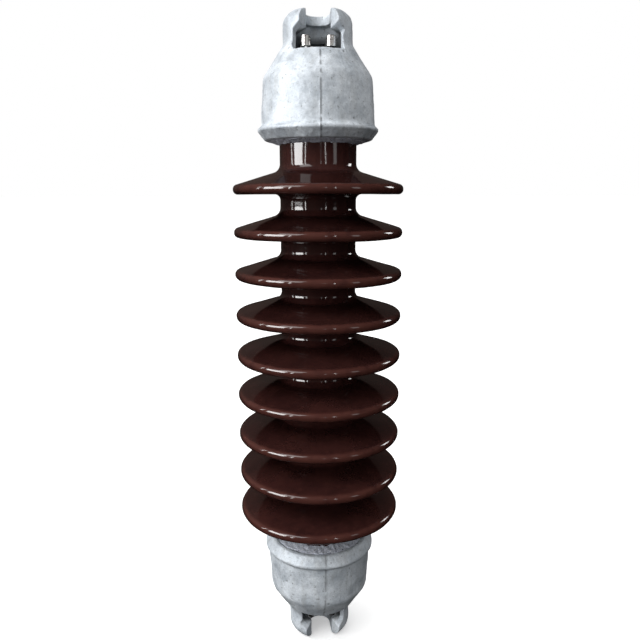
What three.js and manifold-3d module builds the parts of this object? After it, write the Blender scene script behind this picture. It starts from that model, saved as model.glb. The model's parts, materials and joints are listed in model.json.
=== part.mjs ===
// A long-rod porcelain suspension insulator for a 33 kV overhead line: one glazed porcelain rod
// with nine sheds, and a galvanised ball-socket cap cemented on each end, each socket with its
// W-shaped security clip.
//
// Units are millimetres. +Z is up along the rod, the origin is on the rod's axis at the level of
// the lower cap's lug ends, and both sockets open towards -Y.

import * as THREE from 'three';
import { mergeVertices } from 'three/addons/utils/BufferGeometryUtils.js';
import Module from 'manifold-3d';

const wasm = await Module();
wasm.setup();

// ---- Driving dimensions -------------------------------------------------------------------

const overallLength = 560;
const turnSegments = 32; // facets round every turned piece
const smallArcSteps = 2; // facets along a turned piece's rims and fillets
const largeArcSteps = 4; // and along a cap's large rounds
const gap = 0.3; // clearance kept between pieces that touch

const shed = {
  count: 9,
  radius: 72.5,
  pitch: 36.14,
  lowestUnderside: 126.8,
  tipRound: 4.2,
  tipRise: 7.5, // height of the rim, underside to the start of the top slope
  rootRise: 19.5, // height at which the top slope would meet the core
  underFillet: 5,
  topFillet: 7,
};
const coreRadius = 32.5;

// Depths below are measured from a cap's lug ends, towards the middle of the insulator.
const shank = { radius: 31, end: 52.8, shoulder: 95.3, chamfer: 1.5 };
const cap = {
  domeRound: 10,
  neckRadius: 28.4,
  neckDepth: 25,
  neckFillet: 7.5,
  shoulderRadius: 45.3,
  shoulderDepth: 51,
  shoulderRound: 10.5,
  skirtRadius: 47.6,
  skirtDepth: 88.5,
  skirtFillet: 3,
  flangeRadius: 50.5,
  flangeTop: 91,
  flangeBottom: 93,
  lipRadius: 45,
  lipDepth: 100,
  mouthRadius: 42,
  mouthDepth: 101,
  twistUpper: 2, // degrees each casting is turned about the rod, as cemented
  twistLower: 8,
};
const pocket = {
  depth: 49,
  chamfer: 3,
  wideRadius: 40.6, // each tooth of the pocket wall narrows from wide to narrow towards the mouth
  narrowRadius: 38.8,
  teeth: 3,
  firstTooth: 52,
  lastTooth: 93,
  toothStep: 2,
};
const socket = {
  floorDepth: 32,
  chamberRadius: 18,
  chamberRoof: 18, // depth at which the ball seat starts
  seatRadius: 13, // outer edge of the flat seat that the ball bears on
  seatDepth: 7.5,
  entryHalfWidth: 18,
  ledgeDepth: 15,
  slotHalfWidth: 9.8,
  flareStart: 16, // distance in front of the axis where the opening starts to widen
  flareSlope: 0.71,
  ledgeShare: 0.7, // how far the ledges rise, and the sill drops, for each unit of widening
  sillShare: 0.05,
  sillSpread: 0.3, // share of the widening that the opening keeps down at its sill
  clipWindowHalfWidth: 14.7,
  clipMouthHalfWidth: 13.6,
  clipMouthStart: 22,
  clipWindowFloor: 28.9,
  clipWindowRoof: 19.8,
  reach: 45, // how far the cutting solids run past the casting
  clearance: 2, // and past the lug ends
};
const clip = {
  thickness: 2.5,
  height: 8.5,
  loopCentre: 10.2,
  loopRadius: 2.75, // of the strip's centreline
  loopFront: -18.5, // outer face of the loops
  legHalfSpan: 11.95,
  pinchLength: 3,
  bendCentre: 26,
  hookStart: 32.5,
  hookLength: 3.5,
  hookSpread: 5,
  arcSteps: 6,
};
const sleeve = { gritThickness: 1.7, coatThickness: 0.8, start: 55, end: 95 };
const cementCrown = 103.6; // depth at which the cement's crown meets the rod

// ---- Materials ----------------------------------------------------------------------------

function material(color, roughness, metalness) {
  return new THREE.MeshStandardMaterial({ color, roughness, metalness });
}

const materials = {
  glaze: material(0x2f1a19, 0.12, 0),
  galvanised: material(0xb9bfc4, 0.5, 0.7),
  cement: material(0x9fa3ab, 0.95, 0),
  grit: material(0xb7a894, 0.95, 0),
  bitumen: material(0x171412, 0.6, 0),
  felt: material(0x2a241f, 0.95, 0),
  clipSteel: material(0xc8cbce, 0.3, 0.9),
};

// ---- Turned pieces ------------------------------------------------------------------------

function corner(radius, z, round = 0, steps = 1) {
  return { at: new THREE.Vector2(radius, z), round, steps };
}

// The arc that replaces a corner, tangent to the lines to its two neighbours.
function cornerArc(before, here, after) {
  const back = before.at.clone().sub(here.at).normalize();
  const ahead = after.at.clone().sub(here.at).normalize();
  const half = Math.acos(THREE.MathUtils.clamp(back.dot(ahead), -1, 1)) / 2;
  const centre = back.clone().add(ahead).normalize();
  centre.multiplyScalar(here.round / Math.sin(half)).add(here.at);
  const start = here.at.clone().addScaledVector(back, here.round / Math.tan(half)).sub(centre);
  const sweep = (Math.PI - 2 * half) * Math.sign(back.cross(ahead)) * -1;
  const points = [];
  for (let step = 0; step <= here.steps; step += 1) {
    const turned = start.clone().rotateAround(new THREE.Vector2(), (sweep * step) / here.steps);
    points.push(turned.add(centre));
  }
  return points;
}

function outline(corners) {
  return corners.flatMap((here, index) => {
    if (here.round === 0) return [here.at];
    return cornerArc(corners[index - 1], here, corners[index + 1]);
  });
}

// Turns a profile about Z. The profile runs up the outside and down any inside.
function turned(corners) {
  return new THREE.LatheGeometry(outline(corners), turnSegments).rotateX(Math.PI / 2);
}

// A ring closes its profile on its first corner.
function turnedRing(corners) {
  return turned([...corners, corners[0]]);
}

// ---- Booleans -----------------------------------------------------------------------------

// Triangles that have shrunk to a line, as at the ends of a turned profile on the axis, are left out.
function withoutSlivers(index) {
  const kept = [];
  for (let i = 0; i < index.length; i += 3) {
    const [a, b, c] = index.slice(i, i + 3);
    if (a !== b && b !== c && c !== a) kept.push(a, b, c);
  }
  return new Uint32Array(kept);
}

function toSolid(geometry) {
  const bare = geometry.clone();
  bare.deleteAttribute('normal');
  bare.deleteAttribute('uv');
  const merged = mergeVertices(bare);
  return new wasm.Manifold(new wasm.Mesh({
    numProp: 3,
    vertProperties: new Float32Array(merged.attributes.position.array),
    triVerts: withoutSlivers(Array.from(merged.index.array)),
  }));
}

function toGeometry(solid) {
  const mesh = solid.getMesh();
  const geometry = new THREE.BufferGeometry();
  geometry.setAttribute('position', new THREE.BufferAttribute(mesh.vertProperties, 3));
  geometry.setIndex(new THREE.BufferAttribute(mesh.triVerts, 1));
  geometry.computeVertexNormals();
  return geometry;
}

// ---- Porcelain ----------------------------------------------------------------------------

function shedCorners(underside) {
  return [
    corner(coreRadius, underside, shed.underFillet),
    corner(shed.radius, underside, shed.tipRound, smallArcSteps),
    corner(shed.radius, underside + shed.tipRise, shed.tipRound, smallArcSteps),
    corner(coreRadius, underside + shed.rootRise, shed.topFillet),
  ];
}

function porcelainBody() {
  const lowerHalf = [
    corner(0, shank.end),
    corner(shank.radius - shank.chamfer, shank.end),
    corner(shank.radius, shank.end + shank.chamfer),
    corner(shank.radius, shank.shoulder),
    corner(coreRadius, shank.shoulder + shank.chamfer),
  ];
  const upperHalf = lowerHalf.map(({ at }) => corner(at.x, overallLength - at.y)).reverse();
  const sheds = [];
  for (let index = 0; index < shed.count; index += 1) {
    sheds.push(...shedCorners(shed.lowestUnderside + index * shed.pitch));
  }
  return turned([...lowerHalf, ...sheds, ...upperHalf]);
}

// ---- Cap ----------------------------------------------------------------------------------
// Every piece of an end fitting is made with the lug ends at z = 0 and the rod below them.

// The toothed wall of the cap's pocket, from its mouth up, moved inwards by an offset.
function pocketWall(offset) {
  const pitch = (pocket.lastTooth - pocket.firstTooth) / pocket.teeth;
  const corners = [];
  for (let tooth = 0; tooth < pocket.teeth; tooth += 1) {
    const mouthSide = pocket.lastTooth - tooth * pitch;
    corners.push(corner(pocket.narrowRadius - offset, -mouthSide));
    const deepSide = tooth === pocket.teeth - 1 ? pocket.firstTooth : mouthSide - pitch + pocket.toothStep;
    corners.push(corner(pocket.wideRadius - offset, -deepSide));
  }
  return corners;
}

function capCasting() {
  return turned([
    corner(0, -pocket.depth),
    corner(pocket.wideRadius - pocket.chamfer, -pocket.depth),
    ...pocketWall(0).reverse(),
    corner(cap.mouthRadius, -cap.mouthDepth),
    corner(cap.lipRadius, -cap.lipDepth),
    corner(cap.flangeRadius, -cap.flangeBottom),
    corner(cap.flangeRadius, -cap.flangeTop),
    corner(cap.skirtRadius, -cap.skirtDepth, cap.skirtFillet, smallArcSteps),
    corner(cap.shoulderRadius, -cap.shoulderDepth, cap.shoulderRound, largeArcSteps),
    corner(cap.neckRadius, -cap.neckDepth, cap.neckFillet, smallArcSteps),
    corner(cap.neckRadius, 0, cap.domeRound, largeArcSteps),
    corner(0, 0),
  ]);
}

// The opening seen from the front, as (x, z) corners: the ball's entry below and the pin's slot above.
// A widening moves its sides outwards, less so at the sill, and its sill down by a small share.
function openingCorners(widening) {
  const entry = socket.entryHalfWidth + widening;
  const sillEnd = socket.entryHalfWidth + widening * socket.sillSpread;
  const slot = socket.slotHalfWidth + widening;
  const sill = -socket.floorDepth - widening * socket.sillShare;
  const lift = widening * socket.ledgeShare;
  const right = [
    [sillEnd, sill],
    [entry, -socket.chamberRoof + lift],
    [slot, -socket.ledgeDepth + lift],
    [slot, socket.clearance],
  ];
  const left = right.map(([x, z]) => [-x, z]).reverse();
  return [...right, ...left];
}

// A solid that joins the same outline, more or less widened, at several depths behind the front.
function loftedOpening(sections) {
  const rings = sections.map(({ y, widening }) => openingCorners(widening).map(([x, z]) => [x, y, z]));
  const size = rings[0].length;
  const flat = rings[0].map(([x, , z]) => new THREE.Vector2(x, z));
  const faces = THREE.ShapeUtils.triangulateShape(flat, []);
  const last = (rings.length - 1) * size;
  const index = [];
  for (const [a, b, c] of faces) index.push(a, b, c, last + c, last + b, last + a);
  for (let ring = 0; ring < rings.length - 1; ring += 1) {
    for (let i = 0; i < size; i += 1) {
      const here = ring * size + i;
      const next = ring * size + ((i + 1) % size);
      index.push(here, here + size, next, next, here + size, next + size);
    }
  }
  const geometry = new THREE.BufferGeometry();
  geometry.setAttribute('position', new THREE.Float32BufferAttribute(rings.flat(2), 3));
  geometry.setIndex(index);
  return geometry;
}

// The opening runs straight from the chamber to the start of its flare, then widens to the front.
function frontOpening() {
  const widest = (socket.reach - socket.flareStart) * socket.flareSlope;
  return loftedOpening([
    { y: -socket.reach, widening: widest },
    { y: -socket.flareStart, widening: 0 },
    { y: 0, widening: 0 },
  ]);
}

function ballChamber() {
  return turned([
    corner(0, -socket.floorDepth),
    corner(socket.chamberRadius, -socket.floorDepth),
    corner(socket.chamberRadius, -socket.chamberRoof),
    corner(socket.seatRadius, -socket.seatDepth),
    corner(0, -socket.seatDepth),
  ]);
}

// The round rear end of the pin's slot, through the lug ends.
function slotEnd() {
  return turned([
    corner(0, -socket.ledgeDepth),
    corner(socket.slotHalfWidth, -socket.ledgeDepth),
    corner(socket.slotHalfWidth, socket.clearance),
    corner(0, socket.clearance),
  ]);
}

// The clip's window through the rear wall, which narrows to a mouth that holds the clip's loops in.
function clipWindow() {
  const shape = new THREE.Shape([
    new THREE.Vector2(-socket.clipWindowHalfWidth, 0),
    new THREE.Vector2(socket.clipWindowHalfWidth, 0),
    new THREE.Vector2(socket.clipWindowHalfWidth, socket.clipMouthStart),
    new THREE.Vector2(socket.clipMouthHalfWidth, socket.clipMouthStart),
    new THREE.Vector2(socket.clipMouthHalfWidth, socket.reach),
    new THREE.Vector2(-socket.clipMouthHalfWidth, socket.reach),
    new THREE.Vector2(-socket.clipMouthHalfWidth, socket.clipMouthStart),
    new THREE.Vector2(-socket.clipWindowHalfWidth, socket.clipMouthStart),
  ]);
  const height = socket.clipWindowFloor - socket.clipWindowRoof;
  const window = new THREE.ExtrudeGeometry(shape, { depth: height, bevelEnabled: false });
  return window.translate(0, 0, -socket.clipWindowFloor);
}

function socketCap() {
  const cutters = [ballChamber(), frontOpening(), slotEnd(), clipWindow()];
  const cut = cutters.reduce((casting, cutter) => casting.subtract(toSolid(cutter)), toSolid(capCasting()));
  return toGeometry(cut);
}

// ---- What the joint between cap and rod holds ---------------------------------------------

function cementRing() {
  const outerOffset = 2 * gap + sleeve.coatThickness;
  const boreRadius = shank.radius + sleeve.gritThickness + sleeve.coatThickness + 3 * gap;
  return turnedRing([
    corner(coreRadius + gap, -cementCrown),
    corner(cap.mouthRadius - gap, -cap.mouthDepth + gap),
    ...pocketWall(outerOffset),
    corner(pocket.wideRadius - pocket.chamfer - gap, -pocket.depth - gap),
    corner(boreRadius, -pocket.depth - gap),
    corner(boreRadius, -sleeve.end - gap),
    corner(coreRadius + gap, -sleeve.end - 2 * gap),
  ]);
}

function capCoat() {
  const outer = pocketWall(gap);
  const inner = pocketWall(gap + sleeve.coatThickness).reverse();
  return turnedRing([...outer, ...inner]);
}

function shankSleeve(innerRadius, thickness) {
  return turnedRing([
    corner(innerRadius + thickness, -sleeve.end),
    corner(innerRadius + thickness, -sleeve.start),
    corner(innerRadius, -sleeve.start),
    corner(innerRadius, -sleeve.end),
  ]);
}

function cushionDisc() {
  return turned([
    corner(0, -shank.end + gap),
    corner(shank.radius, -shank.end + gap),
    corner(shank.radius, -pocket.depth - gap),
    corner(0, -pocket.depth - gap),
  ]);
}

// ---- W clip -------------------------------------------------------------------------------

function arcPoints(centre, radius, from, to) {
  const points = [];
  for (let step = 0; step <= clip.arcSteps; step += 1) {
    const angle = from + ((to - from) * step) / clip.arcSteps;
    points.push(new THREE.Vector2(radius, 0).rotateAround(new THREE.Vector2(), angle).add(centre));
  }
  return points;
}

// Centreline of the clip's right half in plan, from the middle bend to the hook.
function clipHalfLine() {
  const loopY = clip.loopFront + clip.thickness / 2 + clip.loopRadius;
  const bendRadius = clip.loopCentre - clip.loopRadius;
  const bend = arcPoints(new THREE.Vector2(0, clip.bendCentre), bendRadius, Math.PI / 2, 0);
  const loop = arcPoints(new THREE.Vector2(clip.loopCentre, loopY), clip.loopRadius, -Math.PI, 0);
  return [
    ...bend,
    ...loop,
    new THREE.Vector2(clip.legHalfSpan, loopY + clip.pinchLength),
    new THREE.Vector2(clip.legHalfSpan, clip.hookStart),
    new THREE.Vector2(clip.legHalfSpan + clip.hookSpread, clip.hookStart + clip.hookLength),
  ];
}

// Both sides of a strip that follows a centreline.
function stripOutline(line, thickness) {
  const side = (sign) => line.map((point, index) => {
    const before = line[Math.max(index - 1, 0)];
    const after = line[Math.min(index + 1, line.length - 1)];
    const into = point.clone().sub(before).normalize();
    const out = after.clone().sub(point).normalize();
    const along = into.add(out).normalize();
    const normal = new THREE.Vector2(-along.y, along.x);
    return point.clone().addScaledVector(normal, (sign * thickness) / 2);
  });
  return [...side(-1), ...side(1).reverse()];
}

function wClip() {
  const right = clipHalfLine();
  const left = right.slice(1).map((point) => new THREE.Vector2(-point.x, point.y)).reverse();
  const shape = new THREE.Shape(stripOutline([...left, ...right], clip.thickness));
  const strip = new THREE.ExtrudeGeometry(shape, { depth: clip.height, bevelEnabled: false });
  return strip.translate(0, 0, -socket.clipWindowFloor + gap);
}

// ---- Assembly -----------------------------------------------------------------------------

function named(name, geometry, finish) {
  const mesh = new THREE.Mesh(geometry, finish);
  mesh.name = name;
  return mesh;
}

function endFitting(end) {
  const gritRadius = shank.radius + gap;
  const coatRadius = gritRadius + sleeve.gritThickness + gap;
  const fitting = new THREE.Group();
  fitting.add(
    named(`${end}_cap`, socketCap(), materials.galvanised),
    named(`${end}_cement`, cementRing(), materials.cement),
    named(`${end}_cap_coat`, capCoat(), materials.bitumen),
    named(`${end}_shank_coat`, shankSleeve(coatRadius, sleeve.coatThickness), materials.bitumen),
    named(`${end}_grit_band`, shankSleeve(gritRadius, sleeve.gritThickness), materials.grit),
    named(`${end}_cushion_disc`, cushionDisc(), materials.felt),
    named(`${end}_w_clip`, wClip(), materials.clipSteel),
  );
  return fitting;
}

const insulator = new THREE.Group();
insulator.add(named('porcelain_body', porcelainBody(), materials.glaze));

const upper = endFitting('upper');
upper.position.z = overallLength;
upper.rotation.z = THREE.MathUtils.degToRad(cap.twistUpper);
insulator.add(upper);

// The lower fitting is the same assembly upside down, turned over about Y so that it opens to -Y.
const lower = endFitting('lower');
lower.rotation.y = Math.PI;
const lowerTurn = new THREE.Group();
lowerTurn.add(lower);
lowerTurn.rotation.z = THREE.MathUtils.degToRad(cap.twistLower);
insulator.add(lowerTurn);

export default insulator;
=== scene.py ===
"""The looks of a long-rod porcelain insulator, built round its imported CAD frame.

Pieces are drawn in millimetres and then shrunk to the frame's metres. Every piece of an end
fitting is drawn with its lug ends at z = 0 and the rod below them, then put on its end.
"""

import json
import math

import bpy
import numpy as np
from mathutils import Matrix, Vector

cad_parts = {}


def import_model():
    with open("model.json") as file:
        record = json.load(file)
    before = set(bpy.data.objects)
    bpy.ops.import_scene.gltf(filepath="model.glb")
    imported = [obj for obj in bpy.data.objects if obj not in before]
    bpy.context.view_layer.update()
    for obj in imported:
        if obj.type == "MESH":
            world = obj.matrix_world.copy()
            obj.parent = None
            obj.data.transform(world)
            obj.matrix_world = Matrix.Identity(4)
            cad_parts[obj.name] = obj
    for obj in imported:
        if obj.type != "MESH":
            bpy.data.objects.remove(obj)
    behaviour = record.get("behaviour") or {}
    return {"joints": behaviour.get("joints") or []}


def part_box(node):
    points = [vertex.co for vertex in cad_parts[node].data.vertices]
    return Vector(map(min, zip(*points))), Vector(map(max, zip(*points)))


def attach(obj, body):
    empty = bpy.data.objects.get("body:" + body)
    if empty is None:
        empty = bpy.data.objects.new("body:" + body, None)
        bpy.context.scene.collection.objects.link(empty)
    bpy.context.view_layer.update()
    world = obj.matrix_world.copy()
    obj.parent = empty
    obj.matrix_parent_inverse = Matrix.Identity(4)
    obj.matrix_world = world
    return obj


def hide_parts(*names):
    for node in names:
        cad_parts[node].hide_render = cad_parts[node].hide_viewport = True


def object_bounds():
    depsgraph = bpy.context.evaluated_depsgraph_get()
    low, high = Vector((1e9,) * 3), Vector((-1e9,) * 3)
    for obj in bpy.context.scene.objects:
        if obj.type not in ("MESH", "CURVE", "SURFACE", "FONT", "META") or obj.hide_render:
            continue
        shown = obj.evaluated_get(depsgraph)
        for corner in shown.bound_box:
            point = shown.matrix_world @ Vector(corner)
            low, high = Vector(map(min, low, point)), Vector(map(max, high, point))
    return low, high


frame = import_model()
cad_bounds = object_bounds()

# ---- Driving dimensions, millimetres ------------------------------------------------------

MM = 0.001
SEGMENTS = 288

SHED_COUNT = 9
SHED_RADIUS = 72.5
SHED_PITCH = 36.14
LOWEST_UNDERSIDE = 126.8
TIP_RISE = 7.5
TIP_ROUND = 4.1
ROOT_RISE = 19.5
UNDER_FILLET = 5.0
TOP_FILLET = 7.5
CORE_RADIUS = 32.5
WARP = 0.25

SHANK_RADIUS = 31.0
SHANK_END = 52.8
SHANK_SHOULDER = 95.3
SHANK_CHAMFER = 1.5

POCKET_DEPTH = 49.0
POCKET_WIDE = 40.6
POCKET_NARROW = 38.8
POCKET_TEETH = 3
POCKET_FIRST = 52.0
POCKET_LAST = 93.0
TOOTH_STEP = 2.0

MOUTH_RADIUS = 42.0
MOUTH_DEPTH = 101.0
LIP = (45.0, 100.0)
FLANGE = (50.5, 91.0, 93.0)
SKIRT = (47.6, 88.5)
SHOULDER = (45.3, 51.0)
NECK = (28.4, 25.0)
DOME_ROUND = 10.0

FLOOR_DEPTH = 32.0
CHAMBER_RADIUS = 18.0
CHAMBER_ROOF = 18.0
SEAT_RADIUS = 13.0
SEAT_DEPTH = 7.5
LEDGE_DEPTH = 15.0
SLOT_HALF_WIDTH = 9.8
FLARE_START = 16.0
FLARE_SLOPE = 0.71
LEDGE_SHARE = 0.7
SILL_SHARE = 0.05
SILL_SPREAD = 0.3
WINDOW_HALF_WIDTH = 14.7
WINDOW_MOUTH_HALF_WIDTH = 13.6
WINDOW_MOUTH_START = 22.0
WINDOW_FLOOR = 28.9
WINDOW_ROOF = 19.8
REACH = 45.0

CLIP_THICKNESS = 2.5
CLIP_HEIGHT = 8.5
CLIP_LOOP_CENTRE = 10.2
CLIP_LOOP_RADIUS = 2.75
CLIP_LOOP_FRONT = -18.5
CLIP_LEG = 11.95
CLIP_BEND_CENTRE = 26.0
CLIP_HOOK_START = 32.5
CLIP_HOOK = (5.0, 3.5)

GAP = 0.3
GRIT = 1.7
COAT = 0.8
SLEEVE_START = 55.0
SLEEVE_END = 95.0
CEMENT_CROWN = 103.6

# ---- Mesh building ------------------------------------------------------------------------


def rounded(corners):
    """Points along (x, y, rounding) corners, each rounding an arc tangent to both its sides."""
    points = []
    for index, (x, y, rounding) in enumerate(corners):
        here = Vector((x, y))
        if rounding == 0:
            points.append(here)
            continue
        back = (Vector(corners[index - 1][:2]) - here).normalized()
        ahead = (Vector(corners[(index + 1) % len(corners)][:2]) - here).normalized()
        half = math.acos(max(-1.0, min(1.0, back.dot(ahead)))) / 2
        centre = here + (back + ahead).normalized() * (rounding / math.sin(half))
        start = here + back * (rounding / math.tan(half)) - centre
        turn = -math.copysign(math.pi - 2 * half, back.cross(ahead))
        steps = max(2, round(abs(turn) / math.radians(7)))
        for step in range(steps + 1):
            points.append(centre + Matrix.Rotation(turn * step / steps, 2) @ start)
    return [(p.x, p.y) for p in points]


def subdivided(points, spacing):
    """The same line with no stretch longer than the spacing."""
    line = [points[0]]
    for start, end in zip(points, points[1:]):
        pieces = max(1, math.ceil(math.dist(start, end) / spacing))
        for step in range(1, pieces + 1):
            share = step / pieces
            line.append(tuple(a + (b - a) * share for a, b in zip(start, end)))
    return line


def new_object(name, vertices, faces):
    mesh = bpy.data.meshes.new(name)
    mesh.from_pydata([tuple(v) for v in vertices], [], faces)
    mesh.update()
    piece = bpy.data.objects.new(name, mesh)
    bpy.context.scene.collection.objects.link(piece)
    return piece


def turned(name, corners, spacing=1.5, ring=False, segments=SEGMENTS):
    """A profile of (radius, z, rounding) corners turned about Z. It runs up the outside; a ring
    closes on its first corner, and any other profile starts and ends on the axis."""
    points = rounded(corners)
    if ring:
        points = subdivided(points + points[:1], spacing)[:-1]
    else:
        points = subdivided(points, spacing)
    vertices, rows = [], []
    for radius, z in points:
        first = len(vertices)
        count = 1 if radius < 1e-6 else segments
        for step in range(count):
            angle = 2 * math.pi * step / count
            vertices.append((radius * math.cos(angle), radius * math.sin(angle), z))
        rows.append([first + step % count for step in range(segments)])
    pairs = list(zip(rows, rows[1:]))
    if ring:
        pairs.append((rows[-1], rows[0]))
    faces = []
    for lower, upper in pairs:
        for step in range(segments):
            after = (step + 1) % segments
            face = [lower[step], lower[after], upper[after], upper[step]]
            faces.append(list(dict.fromkeys(face)))
    return new_object(name, vertices, faces)


def lofted(name, rings):
    """A closed solid through rings of points that match one to one. Seen from outside the first
    end, the points go round anticlockwise."""
    size = len(rings[0])
    vertices = [point for ring in rings for point in ring]
    faces = [list(range(size)), [len(vertices) - 1 - i for i in range(size)]]
    for ring in range(len(rings) - 1):
        for i in range(size):
            here, after = ring * size + i, ring * size + (i + 1) % size
            faces.append([here, here + size, after + size, after])
    return new_object(name, vertices, faces)


def applied(piece, **modifiers):
    """Gives the piece its modifiers, in the order they are named, and makes them its mesh."""
    for kind, settings in modifiers.items():
        modifier = piece.modifiers.new(kind, kind)
        for setting, value in settings.items():
            setattr(modifier, setting, value)
    graph = bpy.context.evaluated_depsgraph_get()
    mesh = bpy.data.meshes.new_from_object(piece.evaluated_get(graph))
    piece.modifiers.clear()
    piece.data = mesh
    return piece


def cut(piece, cutters):
    for cutter in cutters:
        applied(piece, BOOLEAN={"operation": "DIFFERENCE", "object": cutter, "solver": "EXACT"})
        bpy.data.objects.remove(cutter)
    return piece


# ---- Surface relief -----------------------------------------------------------------------


def positions(mesh):
    flat = np.empty(len(mesh.vertices) * 3, np.float32)
    mesh.vertices.foreach_get("co", flat)
    return flat.reshape(-1, 3).astype(float)


def normals(mesh):
    flat = np.empty(len(mesh.vertices) * 3, np.float32)
    mesh.vertices.foreach_get("normal", flat)
    return flat.reshape(-1, 3).astype(float)


def move_to(mesh, points):
    mesh.vertices.foreach_set("co", points.astype(np.float32).ravel())
    mesh.update()


def waves(points, wavelength, seed, count=40):
    """Smooth random relief of about unit height, as a sum of waves in seeded directions."""
    rng = np.random.default_rng(seed)
    directions = rng.normal(size=(count, 3))
    directions /= np.linalg.norm(directions, axis=1)[:, None]
    numbers = 2 * math.pi / (wavelength * rng.uniform(0.7, 1.5, count))
    phases = rng.uniform(0, 2 * math.pi, count)
    total = np.zeros(len(points))
    for direction, number, phase in zip(directions, numbers, phases):
        total += np.cos(points @ direction * number + phase)
    return total * math.sqrt(2 / count)


def set_attribute(mesh, name, values):
    attribute = mesh.attributes.new(name, "FLOAT", "POINT")
    attribute.data.foreach_set("value", values.astype(np.float32))


# ---- Materials ----------------------------------------------------------------------------


def add(tree, kind, sockets=(), **settings):
    """A node with its settings, and its sockets set or linked from a dictionary."""
    node = tree.nodes.new(kind)
    for setting, value in settings.items():
        setattr(node, setting, value)
    for socket, value in dict(sockets).items():
        if isinstance(value, bpy.types.NodeSocket):
            tree.links.new(value, node.inputs[socket])
        else:
            node.inputs[socket].default_value = value
    return node


def new_material(name, **constants):
    """A material, its node tree and its shader, with the shader's constants set."""
    material = bpy.data.materials.new(name)
    material.use_nodes = True
    tree = material.node_tree
    shader = tree.nodes["Principled BSDF"]
    for socket, value in constants.items():
        shader.inputs[socket.replace("_", " ")].default_value = value
    return material, tree, shader


def object_coordinates(tree, stretch=(1, 1, 1)):
    coordinates = add(tree, "ShaderNodeTexCoord").outputs["Object"]
    return add(tree, "ShaderNodeMapping", {"Vector": coordinates, "Scale": stretch}).outputs[0]


def noise(tree, vector, scale, detail=4.0, roughness=0.55):
    sockets = {"Vector": vector, "Scale": scale, "Detail": detail, "Roughness": roughness}
    return add(tree, "ShaderNodeTexNoise", sockets).outputs[0]


def ramp(tree, value, *stops):
    """A value or colour ramp with (position, grey or colour) stops."""
    node = add(tree, "ShaderNodeValToRGB", {"Fac": value})
    elements = node.color_ramp.elements
    while len(elements) < len(stops):
        elements.new(0.5)
    for element, (position, colour) in zip(elements, stops):
        element.position = position
        element.color = (*colour, 1) if isinstance(colour, tuple) else (colour, colour, colour, 1)
    return node.outputs[0]


def mixed(tree, factor, a, b, blend="MIX"):
    node = add(tree, "ShaderNodeMix", data_type="RGBA", blend_type=blend)
    for socket, value in ((0, factor), (6, a), (7, b)):
        if isinstance(value, bpy.types.NodeSocket):
            tree.links.new(value, node.inputs[socket])
        else:
            node.inputs[socket].default_value = value
    return node.outputs[2]


def math_node(tree, operation, *values):
    node = add(tree, "ShaderNodeMath", operation=operation)
    for index, value in enumerate(values):
        if isinstance(value, bpy.types.NodeSocket):
            tree.links.new(value, node.inputs[index])
        else:
            node.inputs[index].default_value = value
    return node.outputs[0]


def bump(tree, height, strength, distance, below=None):
    sockets = {"Height": height, "Strength": strength, "Distance": distance}
    if below is not None:
        sockets["Normal"] = below
    return add(tree, "ShaderNodeBump", sockets).outputs[0]


def attribute(tree, name):
    return add(tree, "ShaderNodeAttribute", attribute_name=name).outputs["Fac"]


def glaze_material():
    material, tree, shader = new_material("brown_glaze", IOR=1.52)
    place = object_coordinates(tree)
    pooled = noise(tree, place, 55.0, 3.0)
    streaked = noise(tree, object_coordinates(tree, (1.0, 1.0, 0.18)), 240.0, 3.0)
    body = mixed(tree, ramp(tree, pooled, (0.35, 0.0), (0.7, 1.0)),
                 (0.036, 0.0125, 0.0115, 1), (0.052, 0.0175, 0.0150, 1))
    body = mixed(tree, ramp(tree, streaked, (0.5, 0.0), (0.8, 0.5)), body, (0.066, 0.023, 0.018, 1))
    thin = mixed(tree, pooled, (0.055, 0.019, 0.016, 1), (0.085, 0.030, 0.023, 1))
    coloured = mixed(tree, attribute(tree, "thin"), body, thin)
    specks = ramp(tree, noise(tree, place, 1500.0, 2.0), (0.7, 0.0), (0.78, 1.0))
    coloured = mixed(tree, math_node(tree, "MULTIPLY", specks, 0.5), coloured, (0.012, 0.006, 0.006, 1))
    tree.links.new(coloured, shader.inputs["Base Color"])
    roughness = ramp(tree, noise(tree, place, 160.0, 5.0), (0.3, 0.05), (0.75, 0.13))
    tree.links.new(roughness, shader.inputs["Roughness"])
    orange_peel = bump(tree, noise(tree, place, 420.0, 2.0), 0.05, 0.0003)
    tree.links.new(orange_peel, shader.inputs["Normal"])
    return material


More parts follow.
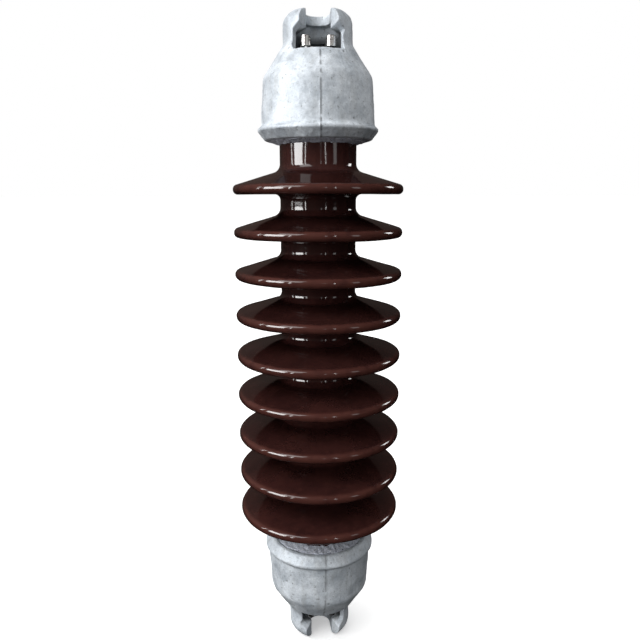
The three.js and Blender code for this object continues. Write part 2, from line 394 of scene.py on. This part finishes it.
def galvanised_material():
    material, tree, shader = new_material("galvanised_iron", Metallic=0.2)
    place = object_coordinates(tree)
    cloud = noise(tree, place, 60.0, 6.0, 0.6)
    zinc = mixed(tree, ramp(tree, cloud, (0.35, 0.0), (0.68, 1.0)),
                 (0.46, 0.51, 0.56, 1), (0.76, 0.81, 0.86, 1))
    grain = ramp(tree, noise(tree, place, 700.0, 4.0, 0.7), (0.3, 0.7), (0.6, 1.0))
    zinc = mixed(tree, 0.75, zinc, grain, "MULTIPLY")
    drips = ramp(tree, noise(tree, object_coordinates(tree, (1.0, 1.0, 0.22)), 150.0, 4.0),
                 (0.5, 0.0), (0.72, 0.35))
    zinc = mixed(tree, drips, zinc, (0.36, 0.37, 0.36, 1))
    specks = ramp(tree, noise(tree, place, 420.0, 3.0), (0.62, 0.0), (0.72, 0.7))
    zinc = mixed(tree, specks, zinc, (0.16, 0.17, 0.17, 1))
    # Painted shade: dark zinc mixed in where the cap's mask marks pits, the line beside the seam and the
    # chamber interior.
    zinc = mixed(tree, attribute(tree, "painted_shade"), zinc, (0.10, 0.105, 0.11, 1))
    tree.links.new(zinc, shader.inputs["Base Color"])
    roughness = ramp(tree, cloud, (0.3, 0.52), (0.75, 0.72))
    tree.links.new(roughness, shader.inputs["Roughness"])
    coarse = bump(tree, noise(tree, place, 330.0, 4.0, 0.6), 0.35, 0.0006)
    fine = bump(tree, noise(tree, place, 1300.0, 3.0, 0.6), 0.3, 0.00025, coarse)
    tree.links.new(fine, shader.inputs["Normal"])
    return material


def cement_material():
    material, tree, shader = new_material("cement_mortar", Roughness=0.92)
    place = object_coordinates(tree)
    grey = mixed(tree, noise(tree, place, 500.0, 5.0, 0.7), (0.34, 0.37, 0.45, 1), (0.72, 0.76, 0.86, 1))
    sand = ramp(tree, noise(tree, place, 900.0, 3.0), (0.55, 0.0), (0.63, 1.0))
    grey = mixed(tree, sand, grey, (0.70, 0.72, 0.76, 1))
    specks = ramp(tree, noise(tree, place, 650.0, 2.0), (0.3, 1.0), (0.38, 0.0))
    grey = mixed(tree, specks, grey, (0.045, 0.045, 0.07, 1))
    tree.links.new(grey, shader.inputs["Base Color"])
    gritty = bump(tree, noise(tree, place, 1100.0, 5.0, 0.7), 0.8, 0.0008)
    tree.links.new(gritty, shader.inputs["Normal"])
    return material


def clip_material():
    material, tree, shader = new_material("clip_steel", Metallic=1.0)
    drawn = noise(tree, object_coordinates(tree, (0.3, 0.3, 2.5)), 260.0, 2.0, 0.5)
    steel = mixed(tree, drawn, (0.50, 0.49, 0.48, 1), (0.78, 0.77, 0.75, 1))
    stain = ramp(tree, noise(tree, object_coordinates(tree), 120.0, 4.0), (0.55, 0.0), (0.75, 0.4))
    steel = mixed(tree, stain, steel, (0.30, 0.27, 0.24, 1))
    tree.links.new(steel, shader.inputs["Base Color"])
    tree.links.new(ramp(tree, drawn, (0.2, 0.2), (0.8, 0.38)), shader.inputs["Roughness"])
    return material


def bitumen_material():
    material, tree, shader = new_material("bitumen", Roughness=0.45)
    place = object_coordinates(tree)
    brushed = noise(tree, object_coordinates(tree, (1, 1, 5.0)), 120.0, 5.0)
    tree.links.new(mixed(tree, brushed, (0.012, 0.011, 0.010, 1), (0.035, 0.031, 0.027, 1)),
                   shader.inputs["Base Color"])
    roughness = ramp(tree, noise(tree, place, 300.0), (0.3, 0.3), (0.7, 0.6))
    tree.links.new(roughness, shader.inputs["Roughness"])
    tree.links.new(bump(tree, brushed, 0.5, 0.0005), shader.inputs["Normal"])
    return material


def grit_material():
    material, tree, shader = new_material("porcelain_grit", Roughness=0.85)
    place = object_coordinates(tree)
    grains = add(tree, "ShaderNodeTexVoronoi", {"Vector": place, "Scale": 700.0})
    crushed = mixed(tree, noise(tree, place, 600.0, 3.0), (0.32, 0.25, 0.19, 1), (0.66, 0.60, 0.52, 1))
    joints = ramp(tree, grains.outputs[0], (0.3, 0.0), (0.6, 0.7))
    crushed = mixed(tree, joints, crushed, (0.16, 0.11, 0.08, 1))
    tree.links.new(crushed, shader.inputs["Base Color"])
    tree.links.new(bump(tree, grains.outputs[0], 0.9, -0.0008), shader.inputs["Normal"])
    return material


def felt_material():
    material, tree, shader = new_material("bitumen_felt", Roughness=0.95)
    place = object_coordinates(tree)
    fibres = noise(tree, object_coordinates(tree, (1.0, 3.0, 1.0)), 900.0, 5.0, 0.75)
    tree.links.new(mixed(tree, fibres, (0.018, 0.015, 0.012, 1), (0.075, 0.062, 0.05, 1)),
                   shader.inputs["Base Color"])
    tree.links.new(bump(tree, noise(tree, place, 1500.0, 4.0), 0.8, 0.0005), shader.inputs["Normal"])
    return material


# ---- Porcelain ----------------------------------------------------------------------------


def porcelain():
    length = (cad_bounds[1][2] - cad_bounds[0][2]) / MM
    lower = [
        (0.0, SHANK_END, 0.0),
        (SHANK_RADIUS, SHANK_END, SHANK_CHAMFER),
        (SHANK_RADIUS, SHANK_SHOULDER, 2.0),
        (CORE_RADIUS, SHANK_SHOULDER + SHANK_CHAMFER, 1.5),
    ]
    upper = [(radius, length - z, rounding) for radius, z, rounding in reversed(lower)]
    sheds = []
    for index in range(SHED_COUNT):
        underside = LOWEST_UNDERSIDE + index * SHED_PITCH
        sheds += [
            (CORE_RADIUS, underside, UNDER_FILLET),
            (SHED_RADIUS, underside, TIP_ROUND),
            (SHED_RADIUS, underside + TIP_RISE, TIP_ROUND),
            (CORE_RADIUS, underside + ROOT_RISE, TOP_FILLET),
        ]
    piece = turned("porcelain_body_glazed", lower + sheds + upper, spacing=1.6)
    mesh = piece.data
    points = positions(mesh)
    radius = np.hypot(points[:, 0], points[:, 1])
    outward = np.clip((radius - CORE_RADIUS) / (SHED_RADIUS - CORE_RADIUS), 0, 1)
    # Each shed has sagged a little in the kiln, in its own direction.
    angle = np.arctan2(points[:, 1], points[:, 0])
    row = np.clip(np.round((points[:, 2] - LOWEST_UNDERSIDE - TIP_RISE) / SHED_PITCH), 0, SHED_COUNT - 1)
    phases = np.random.default_rng(7).uniform(0, 2 * math.pi, SHED_COUNT)[row.astype(int)]
    warped = points + normals(mesh) * (0.05 * waves(points, 30.0, 3))[:, None]
    warped[:, 2] += WARP * outward**2 * np.sin(2 * angle + phases)
    reach = np.hypot(warped[:, 0], warped[:, 1])
    warped[:, :2] *= np.minimum(1.0, SHED_RADIUS / np.maximum(reach, 1e-6))[:, None]
    move_to(mesh, warped)
    # Where the glaze runs thin: the rims.
    rim = np.clip((radius - SHED_RADIUS + 4.2) / 3.2, 0, 1) * (1 + 0.25 * waves(points, 9.0, 5))
    set_attribute(mesh, "thin", np.clip(rim, 0, 1))
    return piece


# ---- End fittings -------------------------------------------------------------------------


def pocket_wall(offset):
    pitch = (POCKET_LAST - POCKET_FIRST) / POCKET_TEETH
    wall = []
    for tooth in range(POCKET_TEETH):
        mouth_side = POCKET_LAST - tooth * pitch
        last = tooth == POCKET_TEETH - 1
        deep_side = POCKET_FIRST if last else mouth_side - pitch + TOOTH_STEP
        wall += [(POCKET_NARROW - offset, -mouth_side, 0.0), (POCKET_WIDE - offset, -deep_side, 0.0)]
    return wall


def opening_ring(y, widening):
    """The front opening's outline at one distance from the axis, going round from its sill."""
    entry = CHAMBER_RADIUS + widening
    slot = SLOT_HALF_WIDTH + widening
    lift = widening * LEDGE_SHARE
    right = [
        (CHAMBER_RADIUS + widening * SILL_SPREAD, -FLOOR_DEPTH - widening * SILL_SHARE),
        (entry, -CHAMBER_ROOF + lift),
        (slot, -LEDGE_DEPTH + lift),
        (slot, 2.0),
    ]
    outline = right + [(-x, z) for x, z in reversed(right)]
    return [(x, y, z) for x, z in outline]


def window_ring(z):
    half, mouth = WINDOW_HALF_WIDTH, WINDOW_MOUTH_HALF_WIDTH
    right = [(half, 0.0), (half, WINDOW_MOUTH_START), (mouth, WINDOW_MOUTH_START + 1.0), (mouth, REACH)]
    outline = right + [(-x, y) for x, y in reversed(right)]
    return [(x, y, z) for x, y in outline]


def socket_cutters():
    widest = (REACH - FLARE_START) * FLARE_SLOPE
    yield turned("chamber", [
        (0.0, -FLOOR_DEPTH, 0.0),
        (CHAMBER_RADIUS, -FLOOR_DEPTH, 1.5),
        (CHAMBER_RADIUS, -CHAMBER_ROOF, 2.0),
        (SEAT_RADIUS, -SEAT_DEPTH, 2.0),
        (0.0, -SEAT_DEPTH, 0.0),
    ], 3.0, segments=96)
    yield lofted("opening", [
        opening_ring(-REACH, widest),
        opening_ring(-FLARE_START, 0.0),
        opening_ring(0.5, 0.0),
    ])
    yield turned("slot_end", [
        (0.0, -LEDGE_DEPTH, 0.0),
        (SLOT_HALF_WIDTH, -LEDGE_DEPTH, 0.0),
        (SLOT_HALF_WIDTH, 2.0, 0.0),
        (0.0, 2.0, 0.0),
    ], 4.0, segments=96)
    yield lofted("window", [window_ring(-WINDOW_ROOF), window_ring(-WINDOW_FLOOR)])


def cap(name, seed):
    piece = turned(name, [
        (0.0, -POCKET_DEPTH, 0.0),
        (POCKET_WIDE - 1.0, -POCKET_DEPTH, 3.0),
        *reversed(pocket_wall(0.0)),
        (MOUTH_RADIUS, -MOUTH_DEPTH, 0.8),
        (LIP[0], -LIP[1], 1.0),
        (FLANGE[0], -FLANGE[2], 1.0),
        (FLANGE[0], -FLANGE[1], 0.8),
        (SKIRT[0], -SKIRT[1], 3.0),
        (SHOULDER[0], -SHOULDER[1], 10.5),
        (NECK[0], -NECK[1], 7.5),
        (NECK[0], 0.0, DOME_ROUND),
        (0.0, 0.0, 0.0),
    ], 3.0, segments=192)
    cut(piece, socket_cutters())
    applied(
        piece,
        REMESH={"mode": "VOXEL", "voxel_size": 0.5},
        SMOOTH={"factor": 0.5, "iterations": 7},
    )
    mesh = piece.data
    points, facing = positions(mesh), normals(mesh)
    radius = np.hypot(points[:, 0], points[:, 1])
    outward = np.einsum("ij,ij->i", points[:, :2], facing[:, :2]) / np.maximum(radius, 1e-6)
    outside = (radius > 26.5) & (outward > 0.15)
    lumps = 0.10 * waves(points, 14.0, seed) + 0.045 * waves(points, 4.0, seed + 1)
    # The parting line of the mould runs up the middle of the front and of the back.
    seam = np.exp(-(points[:, 0] / 0.55) ** 2) * outside * (np.abs(points[:, 1]) > 26)
    uneven = np.clip(0.7 + 0.45 * waves(points, 9.0, seed + 4), 0.15, 1.3)
    height = lumps + 0.3 * seam * uneven
    # Casting pits, scattered over the outside.
    rng = np.random.default_rng(seed + 2)
    pits = np.zeros(len(points))
    for place in points[rng.choice(np.flatnonzero(outside), 16, replace=False)]:
        size = rng.uniform(0.5, 1.0)
        pits += np.exp(-(np.linalg.norm(points - place, axis=1) / size) ** 2)
    height -= 0.5 * np.clip(pits, 0, 1)
    points += facing * height[:, None]
    points[:, 2] = np.minimum(points[:, 2], 0.0)
    move_to(mesh, points)
    # Painted shade: the casting pits, a broken line beside the parting ridge and the inside of the ball
    # chamber deeper than 14 mm are darkened to stand in for the shade that falls there.
    seam_shade = np.exp(-((points[:, 0] - 0.75) / 0.8) ** 2) * outside * (np.abs(points[:, 1]) > 26)
    broken = np.clip(0.75 + 0.5 * waves(points, 6.0, seed + 3), 0, 1)
    inside = (radius < 24.0) & (points[:, 2] < -3.0) & (outward < 0.3)
    chamber_shade = np.clip((-points[:, 2] - 14.0) / 4.0, 0.0, 1.0) * inside
    set_attribute(mesh, "painted_shade", np.clip(0.8 * pits + 0.75 * seam_shade * broken + 0.93 * chamber_shade, 0, 0.95))
    return piece


def cement(name, seed):
    outer = 2 * GAP + COAT
    bore = SHANK_RADIUS + GRIT + COAT + 3 * GAP
    piece = turned(name, [
        (CORE_RADIUS + GAP, -CEMENT_CROWN, 0.0),
        (MOUTH_RADIUS - GAP, -MOUTH_DEPTH + GAP, 0.6),
        *pocket_wall(outer),
        (POCKET_WIDE - 3.0 - GAP, -POCKET_DEPTH - GAP, 0.0),
        (bore, -POCKET_DEPTH - GAP, 0.0),
        (bore, -SLEEVE_END - GAP, 0.0),
        (CORE_RADIUS + GAP, -SLEEVE_END - 2 * GAP, 0.0),
    ], 0.8, ring=True, segments=360)
    mesh = piece.data
    points, facing = positions(mesh), normals(mesh)
    crown = np.clip((-points[:, 2] - SLEEVE_END - 3.0) / 1.5, 0, 1)
    rough = 0.20 * waves(points, 4.0, seed) + 0.10 * waves(points, 1.8, seed + 1)
    points += facing * (np.clip(rough - 0.1, -0.7, 0.5) * crown)[:, None]
    move_to(mesh, points)
    return piece


def cap_coat(name, seed):
    inner = list(reversed(pocket_wall(GAP + COAT)))
    piece = turned(name, pocket_wall(GAP) + inner, 2.0, ring=True, segments=180)
    mesh = piece.data
    points = positions(mesh)
    brushed = 0.03 * waves(points, 5.0, seed)
    move_to(mesh, points + normals(mesh) * brushed[:, None])
    return piece


def sleeve(name, inner, thickness, relief, seed):
    piece = turned(name, [
        (inner + thickness, -SLEEVE_END, 0.3),
        (inner + thickness, -SLEEVE_START, 0.3),
        (inner, -SLEEVE_START, 0.0),
        (inner, -SLEEVE_END, 0.0),
    ], 1.0, ring=True, segments=300)
    mesh = piece.data
    points, facing = positions(mesh), normals(mesh)
    radius = np.hypot(points[:, 0], points[:, 1])
    outer = radius > inner + 0.5 * thickness
    rough = relief * np.clip(waves(points, 2.4, seed) - 1.0, -2.0, 0.0)
    points += facing * (rough * outer)[:, None]
    move_to(mesh, points)
    return piece


def cushion(name, seed):
    piece = turned(name, [
        (0.0, -SHANK_END + GAP, 0.0),
        (SHANK_RADIUS, -SHANK_END + GAP, 0.5),
        (SHANK_RADIUS, -POCKET_DEPTH - GAP, 0.5),
        (0.0, -POCKET_DEPTH - GAP, 0.0),
    ], 1.5, segments=180)
    mesh = piece.data
    points, facing = positions(mesh), normals(mesh)
    points += facing * (0.08 * np.clip(waves(points, 3.0, seed) - 1.0, -2.0, 0.0))[:, None]
    move_to(mesh, points)
    return piece


def clip_line():
    """The W clip's centreline in plan, from one hook round both loops to the other."""
    loop_y = CLIP_LOOP_FRONT + CLIP_THICKNESS / 2
    straight = loop_y + CLIP_LOOP_RADIUS
    outer = CLIP_LOOP_CENTRE + CLIP_LOOP_RADIUS
    inner = CLIP_LOOP_CENTRE - CLIP_LOOP_RADIUS
    bend_y = CLIP_BEND_CENTRE + inner
    snug = 0.99
    right = [
        (inner, bend_y, inner * snug),
        (inner, loop_y, CLIP_LOOP_RADIUS * snug),
        (outer, loop_y, CLIP_LOOP_RADIUS * snug),
        (outer, straight + 0.8, 2.0),
        (CLIP_LEG, straight + 3.6, 2.0),
        (CLIP_LEG, CLIP_HOOK_START, 2.0),
        (CLIP_LEG + CLIP_HOOK[0], CLIP_HOOK_START + CLIP_HOOK[1], 0.0),
    ]
    left = [(-x, y, rounding) for x, y, rounding in reversed(right)]
    return subdivided(rounded(left + right), 1.0)


def clip(name):
    line = [Vector(point) for point in clip_line()]
    half, tall = CLIP_THICKNESS / 2, CLIP_HEIGHT / 2
    edge = 0.55
    section = rounded([
        (0.0, -tall, 0.0), (half, -tall, edge), (half, tall, edge),
        (-half, tall, edge), (-half, -tall, edge), (0.0, -tall, 0.0),
    ])[:-1]
    section = subdivided(section + [section[0]], 1.2)[:-1]
    middle = -WINDOW_FLOOR + GAP + tall
    rings = []
    for index, point in enumerate(line):
        into = (point - line[max(index - 1, 0)]).normalized()
        out = (line[min(index + 1, len(line) - 1)] - point).normalized()
        along = (into + out).normalized()
        side = Vector((along.y, -along.x))
        rings.append([(point.x + side.x * s, point.y + side.y * s, middle + z) for s, z in section])
    return lofted(name, rings)


# ---- Assembly -----------------------------------------------------------------------------


def finished(piece, node, material, slot, body, placement):
    """Puts a piece where its CAD node is, in metres, and hands it to the frame."""
    piece.data.transform(Matrix.Scale(MM, 4) @ placement)
    piece.data.polygons.foreach_set("use_smooth", [True] * len(piece.data.polygons))
    piece.data.set_sharp_from_angle(angle=math.radians(50))
    piece.data.materials.clear()
    piece.data.materials.append(material)
    piece.name = node + "_looks"
    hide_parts(node)
    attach(piece, body)


def joint_turn(name):
    """How far a socket is turned about the rod, from the direction its clip slides in."""
    axis = next(joint["axis"] for joint in frame["joints"] if joint["name"] == name)
    return math.atan2(-axis[0], axis[1])


top = Matrix.Translation((0, 0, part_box("upper_cap")[1].z / MM))
bottom = Matrix.Translation((0, 0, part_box("lower_cap")[0].z / MM))
placements = {
    "upper": top @ Matrix.Rotation(joint_turn("upper_clip_slide"), 4, "Z"),
    "lower": bottom @ Matrix.Rotation(joint_turn("lower_clip_slide"), 4, "Z")
    @ Matrix.Rotation(math.pi, 4, "Y"),
}
zinc = galvanised_material()
mortar = cement_material()
tar = bitumen_material()
grit = grit_material()
felt = felt_material()
steel = clip_material()
shank_coat_radius = SHANK_RADIUS + GRIT + 2 * GAP

finished(porcelain(), "porcelain_body", glaze_material(), "glaze", "insulator", Matrix.Identity(4))
for seed, (end, placement) in enumerate(placements.items()):
    seed = 100 * (seed + 1)
    pieces = (
        (cap, "cap", zinc, "galvanised_iron", ()),
        (cement, "cement", mortar, "cement", ()),
        (cap_coat, "cap_coat", tar, "bitumen", ()),
        (sleeve, "shank_coat", tar, "bitumen", (shank_coat_radius, COAT, 0.04)),
        (sleeve, "grit_band", grit, "porcelain_grit", (SHANK_RADIUS + GAP, GRIT, 0.25)),
        (cushion, "cushion_disc", felt, "felt", ()),
    )
    for step, (make, part, material, slot, sizes) in enumerate(pieces):
        node = f"{end}_{part}"
        finished(make(node, *sizes, seed + 10 * step), node, material, slot, "insulator", placement)
    node = f"{end}_w_clip"
    finished(clip(node), node, steel, "clip_steel", f"{end}_clip", placement)

# ---- Floor, light and camera --------------------------------------------------------------

CAMERA_PLACE = (0.0, -0.5495, 0.4174)
CAMERA_PITCH = math.radians(11.489)
CAMERA_YAW = math.radians(-0.139)
CAMERA_ROLL = math.radians(-0.137)
CAMERA_LENS = 35.31
FLOOR_RADIUS = 60.0
WORLD_SOFT = 2.5
WORLD_ROOM = 0.13


def floor():
    material, tree, shader = new_material("pale_floor", Roughness=0.9, Emission_Strength=0.35)
    shader.inputs["Emission Color"].default_value = (1, 1, 1, 1)
    shader.inputs["Specular IOR Level"].default_value = 0.0
    tint = noise(tree, object_coordinates(tree), 3.0, 3.0)
    pale = mixed(tree, tint, (0.86, 0.86, 0.86, 1), (0.90, 0.90, 0.90, 1))
    tree.links.new(pale, shader.inputs["Base Color"])
    count = 96
    angles = [2 * math.pi * step / count for step in range(count)]
    rim = [(FLOOR_RADIUS * math.cos(angle), FLOOR_RADIUS * math.sin(angle), 0.0) for angle in angles]
    piece = new_object("studio_floor", rim, [list(range(count))])
    piece.location.z = cad_bounds[0][2]
    piece.data.materials.append(material)
    piece.visible_diffuse = False
    piece.visible_glossy = False


def panel_light(name, bearing, distance, height, size, radiance, glossy_only=True):
    """A rectangular light that stands at a bearing from the front, to the right if positive."""
    light = bpy.data.lights.new(name, "AREA")
    light.shape = "RECTANGLE"
    light.size, light.size_y = size
    light.energy = radiance * math.pi * size[0] * size[1]
    lamp = bpy.data.objects.new(name, light)
    angle = math.radians(bearing)
    lamp.location = (distance * math.sin(angle), -distance * math.cos(angle), height)
    lamp.rotation_euler = (Vector((0, 0, 0.28)) - lamp.location).to_track_quat("-Z", "Y").to_euler()
    lamp.visible_diffuse = not glossy_only
    bpy.context.scene.collection.objects.link(lamp)


def lights():
    panel_light("soft_key", -42, 0.85, 1.05, (0.6, 0.5), 4.0, glossy_only=False)
    panel_light("left_window", -60, 1.7, 0.78, (0.85, 0.85), 16.0)
    panel_light("left_slit", -37, 1.7, 0.75, (0.06, 0.9), 15.0)
    panel_light("far_left_slit", -84, 1.8, 0.75, (0.07, 0.9), 14.0)
    panel_light("front_slit", 9, 2.0, 0.8, (0.05, 0.5), 4.0)
    panel_light("right_slit", 22, 1.9, 0.75, (0.05, 0.7), 12.0)
    panel_light("right_panel", 50, 2.0, 0.8, (0.35, 0.8), 1.6)
    panel_light("right_window", 112, 1.7, 0.9, (0.4, 0.5), 10.0)


def world():
    """White behind the object. It lights from above and the left, and shows only dimly in glaze."""
    world = bpy.data.worlds.new("studio")
    world.use_nodes = True
    bpy.context.scene.world = world
    tree = world.node_tree
    tree.nodes.clear()
    direction = add(tree, "ShaderNodeTexCoord").outputs["Generated"]
    parts = add(tree, "ShaderNodeSeparateXYZ", {0: direction}).outputs
    leftward = math_node(tree, "MULTIPLY_ADD", parts[0], -0.5, 0.5)
    upward = math_node(tree, "MULTIPLY_ADD", parts[2], 0.5, 0.5)
    left = ramp(tree, leftward, (0.15, 0.14), (0.85, 1.0))
    above = ramp(tree, upward, (0.38, 0.06), (0.62, 1.0))
    light = mixed(tree, 1.0, left, above, "MULTIPLY")
    soft = add(tree, "ShaderNodeBackground", {"Color": light, "Strength": WORLD_SOFT})
    warm = mixed(tree, 1.0, light, (1.0, 0.74, 0.66, 1), "MULTIPLY")
    room = add(tree, "ShaderNodeBackground", {"Color": warm, "Strength": WORLD_ROOM})
    backdrop = add(tree, "ShaderNodeBackground", {"Color": (1, 1, 1, 1), "Strength": 1.0})
    rays = add(tree, "ShaderNodeLightPath")
    lit = add(tree, "ShaderNodeMixShader",
              {0: rays.outputs["Is Diffuse Ray"], 1: room.outputs[0], 2: soft.outputs[0]})
    blend = add(tree, "ShaderNodeMixShader",
                {0: rays.outputs["Is Camera Ray"], 1: lit.outputs[0], 2: backdrop.outputs[0]})
    output = add(tree, "ShaderNodeOutputWorld")
    tree.links.new(blend.outputs[0], output.inputs["Surface"])


def camera():
    data = bpy.data.cameras.new("camera")
    data.lens = CAMERA_LENS
    data.sensor_width = 36.0
    data.clip_start = 0.01
    eye = bpy.data.objects.new("camera", data)
    eye.matrix_world = (
        Matrix.Translation(CAMERA_PLACE)
        @ Matrix.Rotation(CAMERA_YAW, 4, "Z")
        @ Matrix.Rotation(math.pi / 2 - CAMERA_PITCH, 4, "X")
        @ Matrix.Rotation(CAMERA_ROLL, 4, "Z")
    )
    bpy.context.scene.collection.objects.link(eye)
    bpy.context.scene.camera = eye


floor()
lights()
world()
camera()
bpy.context.scene.view_settings.view_transform = "Standard"
